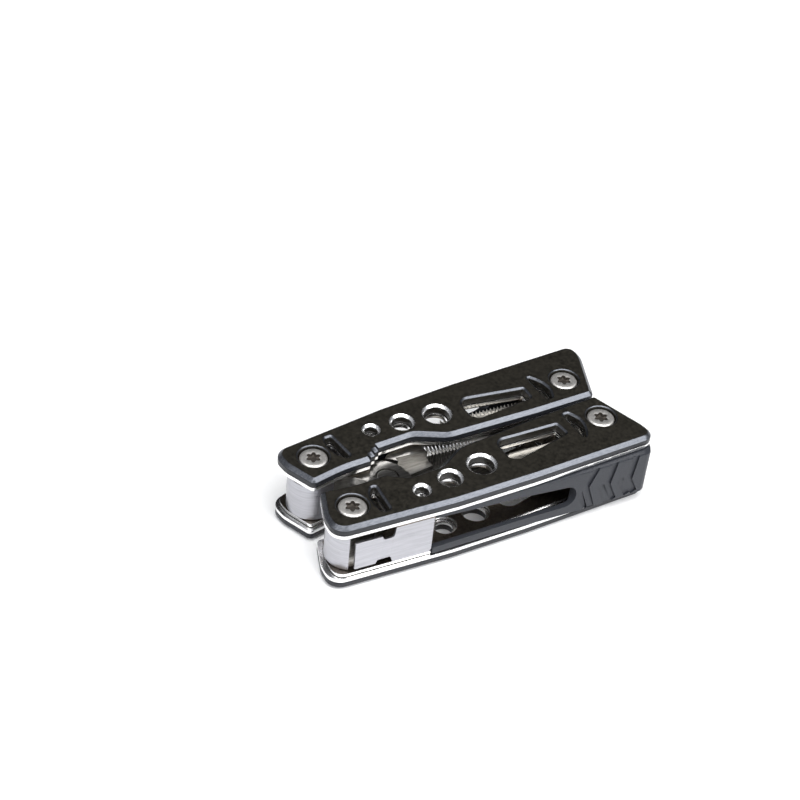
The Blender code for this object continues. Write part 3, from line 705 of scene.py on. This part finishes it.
def post_mesh(point, side):
    """A post: the head from below and a bored pin that ends under the screw's head."""
    end = THICKNESS - SEAT_DEPTH - STACK_GAP
    walls, pockets = head_walls(point, side, HEAD_SINK, -1, end, POST_RADIUS - HEAD_RADIUS)
    # The recess takes the darker steel of painted shade
    post = plate_mesh(walls, pockets, edge=FINE_EDGE, paint={(1, "floor"): 1, (1, 0): 1})
    outline = on_side(circle(point, SHANK_RADIUS + PIN_ROOM), side)
    bore = plate_mesh([straight(outline, POST_BORE_START, THICKNESS)], edge=0.0)
    return joined(post, bore, "DIFFERENCE")


def ring_mesh(point, side, inner, outer, z_low, z_high):
    return plate_mesh([
        straight(on_side(circle(point, outer), side), z_low, z_high),
        straight(on_side(circle(point, inner), side), z_low, z_high),
    ], edge=FINE_EDGE)


def build_handle(prefix, side):
    """One handle: two scales, two liners, the spring frame, the inner plate, the grip and the pins."""
    for is_top in (True, False):
        level = "top" if is_top else "bottom"
        place(scale_mesh(side, is_top), f"{prefix}_scale_{level}", "black", "bare", "rim", "side")
        low = LINER_TOP - LINER_THICK if is_top else THICKNESS - LINER_TOP
        liner = sheet_mesh(handle_outline(side), side, low, low + LINER_THICK, LINER_INSET)
        # The liner's walls take the near-white steel of a painted highlight
        place(liner, f"{prefix}_liner_{level}", "liner", "edge")
    # The flange takes the darker steel of painted shade
    place(frame_mesh(side), f"{prefix}_spring_frame", "shaded_inside", "plate")
    low = THICKNESS - FRAME_TOP
    inner = sheet_mesh(INNER_PLATE, side, low, low + FRAME_THICK, FRAME_INSET)
    # The inner plate's faces take the darker steel of painted shade and its walls the painted highlight
    place(inner, f"{prefix}_inner_plate", "shaded_inside", "edge")
    place(grip_mesh(side), f"{prefix}_grip_insert", "slate")
    for name, point in (("tang", TANG_PIVOT), ("tool", TOOL_PIVOT)):
        pivot = (point[0] - ORIGIN_U, side * point[1], MIDDLE)
        place(screw_mesh(point, side), f"{prefix}_{name}_screw", "screw", "recess", pivot=pivot)
        place(post_mesh(point, side), f"{prefix}_{name}_post", "screw", "recess", pivot=pivot)
    for number in range(WASHER_COUNT):
        high = INSIDE_TOP - TOOL_GAP * 2 - TOOL_THICK - number * TOOL_PITCH
        washer = ring_mesh(TOOL_PIVOT, side, BORE_RADIUS, WASHER_RADIUS, high - WASHER_THICK, high)
        place(washer, f"{prefix}_tool_washer_{number + 1}", "liner")


# ---- Fold-out tools

def root_end(low_v=3.11, high_v=14.91):
    """The round end that every fold-out tool has at its pivot."""
    return [(85.9, high_v, 5.85), (85.9, low_v, 5.85)]


def teeth(start, end, pitch, depth):
    """Saw teeth from start to end, cut to the left of that direction."""
    start = Vector(start)
    along = Vector(end) - start
    count = round(along.length / pitch)
    step = along / count
    inward = Vector((-along.y, along.x)).normalized() * depth
    corners = []
    for k in range(count):
        tip = start + step * k
        root = tip + step * 0.5 + inward
        corners += [(tip.x, tip.y, 0.0), (root.x, root.y, 0.0)]
    corners.append((end[0], end[1], 0.0))
    return corners


def tool_outlines():
    """Each tool's outline and layer, layer 0 on top, for the front and the rear handle."""
    opener = root_end() + [
        (73.0, 3.6, 3.0), (65.0, 7.5, 3.0), (52.0, 6.1, 1.0), (50.2, 8.0, 0.8), (50.6, 11.2, 0.8),
        (53.6, 11.4, 0.5), (54.6, 9.7, 0.9), (57.6, 9.8, 1.0), (58.8, 13.0, 1.2), (63.0, 14.2, 3.0),
        (74.0, 14.8, 4.0)]
    knife = root_end() + [
        (73.0, 3.1, 3.0), (67.0, 9.3, 3.0), (36.0, 9.3, 0.0), (20.0, 11.6, 0.4), (30.0, 14.5, 16.0),
        (68.5, 14.5, 1.0), (69.6, 13.2, 0.6), (73.0, 14.8, 3.0)]
    phillips = root_end() + [
        (72.0, 3.1, 3.0), (66.0, 7.3, 3.0), (45.5, 7.3, 0.6), (43.0, 8.7, 0.3), (41.8, 8.9, 0.3),
        (41.8, 10.1, 0.3), (43.0, 10.3, 0.3), (45.5, 11.7, 0.6), (68.0, 11.7, 3.0), (72.0, 14.6, 3.0)]
    small_driver = root_end() + [
        (72.0, 3.1, 3.0), (66.0, 7.2, 3.0), (50.0, 7.2, 2.0), (44.0, 7.8, 0.2), (44.0, 10.6, 0.2),
        (50.0, 11.2, 2.0), (68.0, 11.2, 3.0), (72.0, 14.6, 3.0)]
    saw = root_end() + [
        (74.0, 3.2, 3.0), (68.0, 4.8, 3.0), (54.0, 6.0, 4.0), (43.0, 9.2, 2.0), (41.4, 12.6, 0.4)
    ] + teeth((42.0, 13.9), (66.6, 11.2), 1.1, -2.3) + [(69.6, 13.6, 2.0), (74.0, 14.8, 3.0)]
    file = root_end() + [
        (73.0, 3.1, 3.0), (68.0, 9.3, 2.0), (34.0, 9.3, 0.6), (34.0, 14.5, 0.6), (72.0, 14.5, 3.0)]
    wide_driver = root_end() + [
        (72.0, 3.1, 3.0), (66.0, 7.6, 3.0), (46.0, 7.6, 2.0), (38.5, 8.4, 0.2), (38.5, 13.6, 0.2),
        (46.0, 13.0, 2.0), (68.0, 13.0, 3.0), (72.0, 14.6, 3.0)]
    awl = root_end() + [
        (72.0, 3.1, 3.0), (66.0, 8.2, 3.0), (52.0, 8.6, 4.0), (40.0, 10.4, 0.2), (52.0, 12.6, 4.0),
        (68.0, 12.6, 3.0), (72.0, 14.6, 3.0)]
    front = [("can_opener", opener), ("knife_blade", knife),
             ("phillips_driver", phillips), ("small_flat_driver", small_driver)]
    rear = [("saw_blade", saw), ("file", file),
            ("wide_flat_driver", wide_driver), ("awl", awl)]
    return {FRONT: front, REAR: rear}


def grind_mesh(side, face, middle):
    """A wedge that grinds one face of the knife blade towards its cutting edge."""
    sign = 1 if face > middle else -1
    start, past = GRIND_LINE
    section = [(start, face), (start, face + sign), (past, face + sign), (past, middle + sign * EDGE_HALF)]
    bm = bmesh.new()
    verts = [bm.verts.new((u - ORIGIN_U, side * v, z)) for u in GRIND_ENDS for v, z in section]
    bmesh.ops.convex_hull(bm, input=verts)
    bmesh.ops.recalc_face_normals(bm, faces=bm.faces)
    return painted(bm, 1)


def build_tools(side):
    """The four fold-out tools of one handle, stacked from the top down."""
    for layer, (name, outline) in enumerate(tool_outlines()[side]):
        high = INSIDE_TOP - TOOL_GAP - layer * TOOL_PITCH
        bm = plate_mesh([
            straight(on_side(outline, side), high - TOOL_THICK, high),
            straight(on_side(circle(TOOL_PIVOT, BORE_RADIUS), side), high - TOOL_THICK, high),
        ])
        if name == "knife_blade":
            for face in (high, high - TOOL_THICK):
                bm = joined(bm, grind_mesh(side, face, high - TOOL_THICK / 2), "DIFFERENCE")
        place(bm, name, "tool", "plate")


# ---- Plier head

def turned(outline, angle):
    """An outline drawn from the jaw pivot along +u, turned by angle and put in its place."""
    result = []
    for u, v, radius in outline:
        point = Matrix.Rotation(angle, 2) @ Vector((u, v))
        result.append((JAW_PIVOT[0] + point.x, JAW_PIVOT[1] + point.y, radius))
    return result


def nose_outline():
    """One jaw's nose when closed: the wire cutter, a step, then teeth to the tip."""
    corners = [(0.5, 0.15, 0.0), (15.5, 0.15, 0.0)]
    corners += teeth(*TOOTH_LINE, TOOTH_PITCH, TOOTH_DEPTH)
    corners += [(36.2, 0.15, 0.3), (36.6, 2.2, 0.5), (27.0, 4.3, 20.0), (15.0, 7.55, 8.0), (4.0, 7.3, 3.0)]
    return corners


def arm_outline():
    """The arm from the tang barrel to the hub, on the side where v is positive."""
    return [(0.0, 5.2, 2.0), (8.0, 4.2, 4.0), (11.5, 0.0, 3.0), (12.5, -4.7, 5.0), (19.5, -5.9, 5.0),
            (23.4, 0.0, 4.5), (20.0, 6.0, 5.0), (11.5, 8.0, 6.0), (4.5, 15.2, 3.0), (0.0, 16.2, 2.0)]


def taper_mesh(side):
    """A sloping block that thins the noses towards their tips, from above or from below."""
    bm = bmesh.new()
    bmesh.ops.create_cube(bm, size=1.0)
    length, _, height = TAPER_BLOCK
    bmesh.ops.scale(bm, vec=TAPER_BLOCK, verts=bm.verts)
    start = JAW_PIVOT[0] + TAPER_START - ORIGIN_U
    bmesh.ops.translate(bm, vec=(length / 2, 0.0, height / 2 * side), verts=bm.verts)
    turn = Matrix.Rotation(TAPER_ANGLE * side, 4, "Y")
    move = Matrix.Translation((start, 0.0, MIDDLE + side * (JAW_THICK / 2 + 0.05)))
    bmesh.ops.transform(bm, matrix=move @ turn, verts=bm.verts)
    return bm


def stop_mesh(side):
    """A block that cuts the flat on the tang barrel where the spring finger rests."""
    length, thick = STOP_BLOCK
    face = [(0.0, 0.0, 0.0), (length, 0.0, 0.0), (length, THICKNESS, 0.0), (0.0, THICKNESS, 0.0)]
    bm = plate_mesh([straight(face, 0.0, thick)], edge=0.0)
    out = Matrix.Rotation(WEB_SLOPE, 2) @ Vector((0.0, thick))
    return stand_up(bm, side, (STOP_FLAT[0] + out.x, STOP_FLAT[1] + out.y), WEB_SLOPE)


def nose_top(x):
    """The height of a nose's top face at distance x from the jaw pivot."""
    return MIDDLE + JAW_THICK / 2 - max(0.0, x - TAPER_START) * math.tan(TAPER_ANGLE)


def lerp(a, b, share):
    """The value that lies share of the way from a to b."""
    return a + (b - a) * share


def bite_point(x, reach, lift):
    """A point on the sloped bite: reach 0 at its low edge and 1 at its high edge, lifted by lift."""
    share = (x - BITE_LOW[0][0]) / (BITE_LOW[1][0] - BITE_LOW[0][0])
    low_v = lerp(BITE_LOW[0][1], BITE_LOW[1][1], share)
    high_v = lerp(BITE_HIGH[0][1], BITE_HIGH[1][1], share)
    v = lerp(low_v, high_v, reach)
    depth = lerp(lerp(BITE_LOW[0][2], BITE_LOW[1][2], share), -0.05, reach)
    return Vector((x, v, nose_top(x) - depth + lift))


def hull(bm, points, nose_side):
    """Add the convex hull of points drawn like a nose, put in their place."""
    verts = []
    for point in points:
        flat = Matrix.Rotation(REST_OPENING, 2) @ Vector((point.x, point.y))
        place_at = (JAW_PIVOT[0] + flat.x - ORIGIN_U, nose_side * (JAW_PIVOT[1] + flat.y), point.z)
        verts.append(bm.verts.new(place_at))
    made = bmesh.ops.convex_hull(bm, input=verts)
    loose = [item for item in made["geom_interior"] if isinstance(item, bmesh.types.BMVert)]
    bmesh.ops.delete(bm, geom=loose, context="VERTS")


def bite_mesh(nose_side):
    """The block that cuts the sloped bite along the toothed edge."""
    bm = bmesh.new()
    points = []
    for x in (BITE_LOW[0][0], BITE_LOW[1][0]):
        low = bite_point(x, 0.0, 0.0)
        points += [low, bite_point(x, 1.0, 0.0), low + Vector((0.0, 0.0, BITE_TALL))]
        points.append(bite_point(x, 1.0, BITE_TALL))
    hull(bm, points, nose_side)
    bmesh.ops.recalc_face_normals(bm, faces=bm.faces)
    return bm


def flute_mesh(nose_side):
    """The V grooves that run up the sloped bite from the gullets of the teeth."""
    bm = bmesh.new()
    start = Vector(TOOTH_LINE[0])
    along = Vector(TOOTH_LINE[1]) - start
    count = round(along.length / TOOTH_PITCH)
    for k in range(count):
        x = (start + along * ((k + 0.5) / count)).x
        fade = FLUTE_REACH - FLUTE_FADE * k / count
        points = []
        for reach, (half, depth) in ((0.0, FLUTE_LOW), (fade, FLUTE_HIGH)):
            spread = Vector((half, 0.0, 0.0))
            crown = bite_point(x, reach, FLUTE_CROWN)
            points += [crown - spread, crown + spread, bite_point(x, reach, -depth)]
        hull(bm, points, nose_side)
    bmesh.ops.recalc_face_normals(bm, faces=bm.faces)
    return bm


def jaw_mesh(tang_side):
    """A plier half. Its nose lies on the other side from its tang; the two hubs are half as thick."""
    nose_side = -tang_side
    is_lower = tang_side == FRONT
    low = MIDDLE - JAW_THICK / 2
    high = MIDDLE + JAW_THICK / 2
    barrel = on_side(circle(TANG_PIVOT, BARREL_RADIUS), tang_side)
    jaw = painted(plate_mesh([straight(barrel, low, high)], edge=JAW_EDGE), 1)
    arm = straight(on_side(arm_outline(), tang_side), low + ARM_INSET, high - ARM_INSET)
    jaw = joined(jaw, plate_mesh([arm], edge=JAW_EDGE), "UNION")
    outline = on_side(turned(nose_outline(), REST_OPENING), nose_side)
    nose = straight(outline, low + NOSE_INSET, high - NOSE_INSET)
    jaw = joined(jaw, plate_mesh([nose], edge=0.0), "UNION")
    step = on_side(turned(CUTTER_STEP, REST_OPENING), nose_side)
    other_low = MIDDLE - JAW_SPLIT / 2 if is_lower else 0.0
    other_high = THICKNESS if is_lower else MIDDLE + JAW_SPLIT / 2
    cuts = [
        straight(on_side(circle(JAW_PIVOT, HUB_RADIUS + HUB_CLEARANCE), 1), other_low, other_high),
        straight(on_side(circle(JAW_PIVOT, RIVET_RADIUS + PIN_ROOM), 1), 0.0, THICKNESS),
        straight(on_side(circle(TANG_PIVOT, BORE_RADIUS), tang_side), 0.0, THICKNESS),
        straight(step, high - CUTTER_SINK, THICKNESS),
    ]
    for wall in cuts:
        jaw = joined(jaw, plate_mesh([wall], edge=0.0), "DIFFERENCE")
    jaw = joined(jaw, stop_mesh(tang_side), "DIFFERENCE")
    for side in (-1, 1):
        jaw = joined(jaw, taper_mesh(side), "DIFFERENCE")
    jaw = joined(jaw, bite_mesh(nose_side), "DIFFERENCE")
    # The flutes take the third material, the near-white steel of a painted highlight
    return joined(jaw, painted(flute_mesh(nose_side), 2), "DIFFERENCE")


def build_plier_head():
    """The two plier halves and the rivet that they turn on."""
    for name, side in (("front_jaw", FRONT), ("rear_jaw", REAR)):
        place(jaw_mesh(side), name, "jaw", "plate", "edge")
    reach = JAW_THICK / 2 - RIVET_INSET
    levels = [(MIDDLE + reach, -RIVET_CHAMFER), (MIDDLE + reach - RIVET_CHAMFER, 0.0),
              (MIDDLE - reach + RIVET_CHAMFER, 0.0), (MIDDLE - reach, -RIVET_CHAMFER)]
    place(plate_mesh([(on_side(circle(JAW_PIVOT, RIVET_RADIUS), 1), levels)]), "jaw_rivet", "jaw")


# ---- Studio

def add_area(name, place_at, width, height, power):
    """A rectangular light that points at the origin."""
    light = bpy.data.lights.new(name, "AREA")
    light.shape = "RECTANGLE"
    light.size = width
    light.size_y = height
    light.energy = power
    obj = bpy.data.objects.new(name, light)
    obj.location = place_at
    direction = -Vector(place_at)
    obj.rotation_euler = direction.to_track_quat("-Z", "Y").to_euler()
    bpy.context.scene.collection.objects.link(obj)


def build_floor():
    bm = bmesh.new()
    bmesh.ops.create_grid(bm, x_segments=1, y_segments=1, size=FLOOR_SIZE)
    mesh = bpy.data.meshes.new("floor")
    bm.to_mesh(mesh)
    bm.free()
    floor = bpy.data.objects.new("floor", mesh)
    material, _, shader = new_material("floor_paper", (FLOOR_WHITE,) * 3, 0.7, 0.0, 0.2)
    shader.inputs["Emission Color"].default_value = (1.0, 1.0, 1.0, 1.0)
    shader.inputs["Emission Strength"].default_value = FLOOR_GLOW
    mesh.materials.append(material)
    bpy.context.scene.collection.objects.link(floor)


def build_sky():
    """Even light from all round that fades to dark over the dark side."""
    world = bpy.data.worlds.new("studio")
    bpy.context.scene.world = world
    world.use_nodes = True
    tree = world.node_tree
    place_at = tree.nodes.new("ShaderNodeTexCoord")
    facing = tree.nodes.new("ShaderNodeVectorMath")
    facing.operation = "DOT_PRODUCT"
    facing.inputs[1].default_value = DARK_SIDE
    tree.links.new(place_at.outputs["Generated"], facing.inputs[0])
    shade = tree.nodes.new("ShaderNodeMapRange")
    shade.interpolation_type = "SMOOTHSTEP"
    shade.inputs["From Min"].default_value = SKY_FADE[0]
    shade.inputs["From Max"].default_value = SKY_FADE[1]
    shade.inputs["To Min"].default_value = SKY_BRIGHT
    shade.inputs["To Max"].default_value = SKY_DARK
    tree.links.new(facing.outputs["Value"], shade.inputs["Value"])
    background = tree.nodes["Background"]
    background.inputs["Color"].default_value = SKY_COLOUR
    tree.links.new(shade.outputs["Result"], background.inputs["Strength"])


def build_studio():
    build_floor()
    bpy.context.scene.view_settings.view_transform = "Standard"
    build_sky()
    for light in LIGHTS:
        add_area(*light)


def build_camera():
    camera = bpy.data.cameras.new("camera")
    camera.lens = LENS
    camera.clip_start = 0.01
    obj = bpy.data.objects.new("camera", camera)
    turn = (Matrix.Rotation(-CAMERA_AZIMUTH, 4, "Z")
            @ Matrix.Rotation(math.pi / 2 - CAMERA_ELEVATION, 4, "X")
            @ Matrix.Rotation(CAMERA_ROLL, 4, "Z"))
    obj.matrix_world = Matrix.Translation(CAMERA_PLACE) @ turn
    bpy.context.scene.collection.objects.link(obj)
    bpy.context.scene.camera = obj


MATERIALS = make_materials()
build_camera()
for handle_name, handle_side in (("front", FRONT), ("rear", REAR)):
    build_handle(handle_name, handle_side)
    build_tools(handle_side)
build_plier_head()
build_studio()
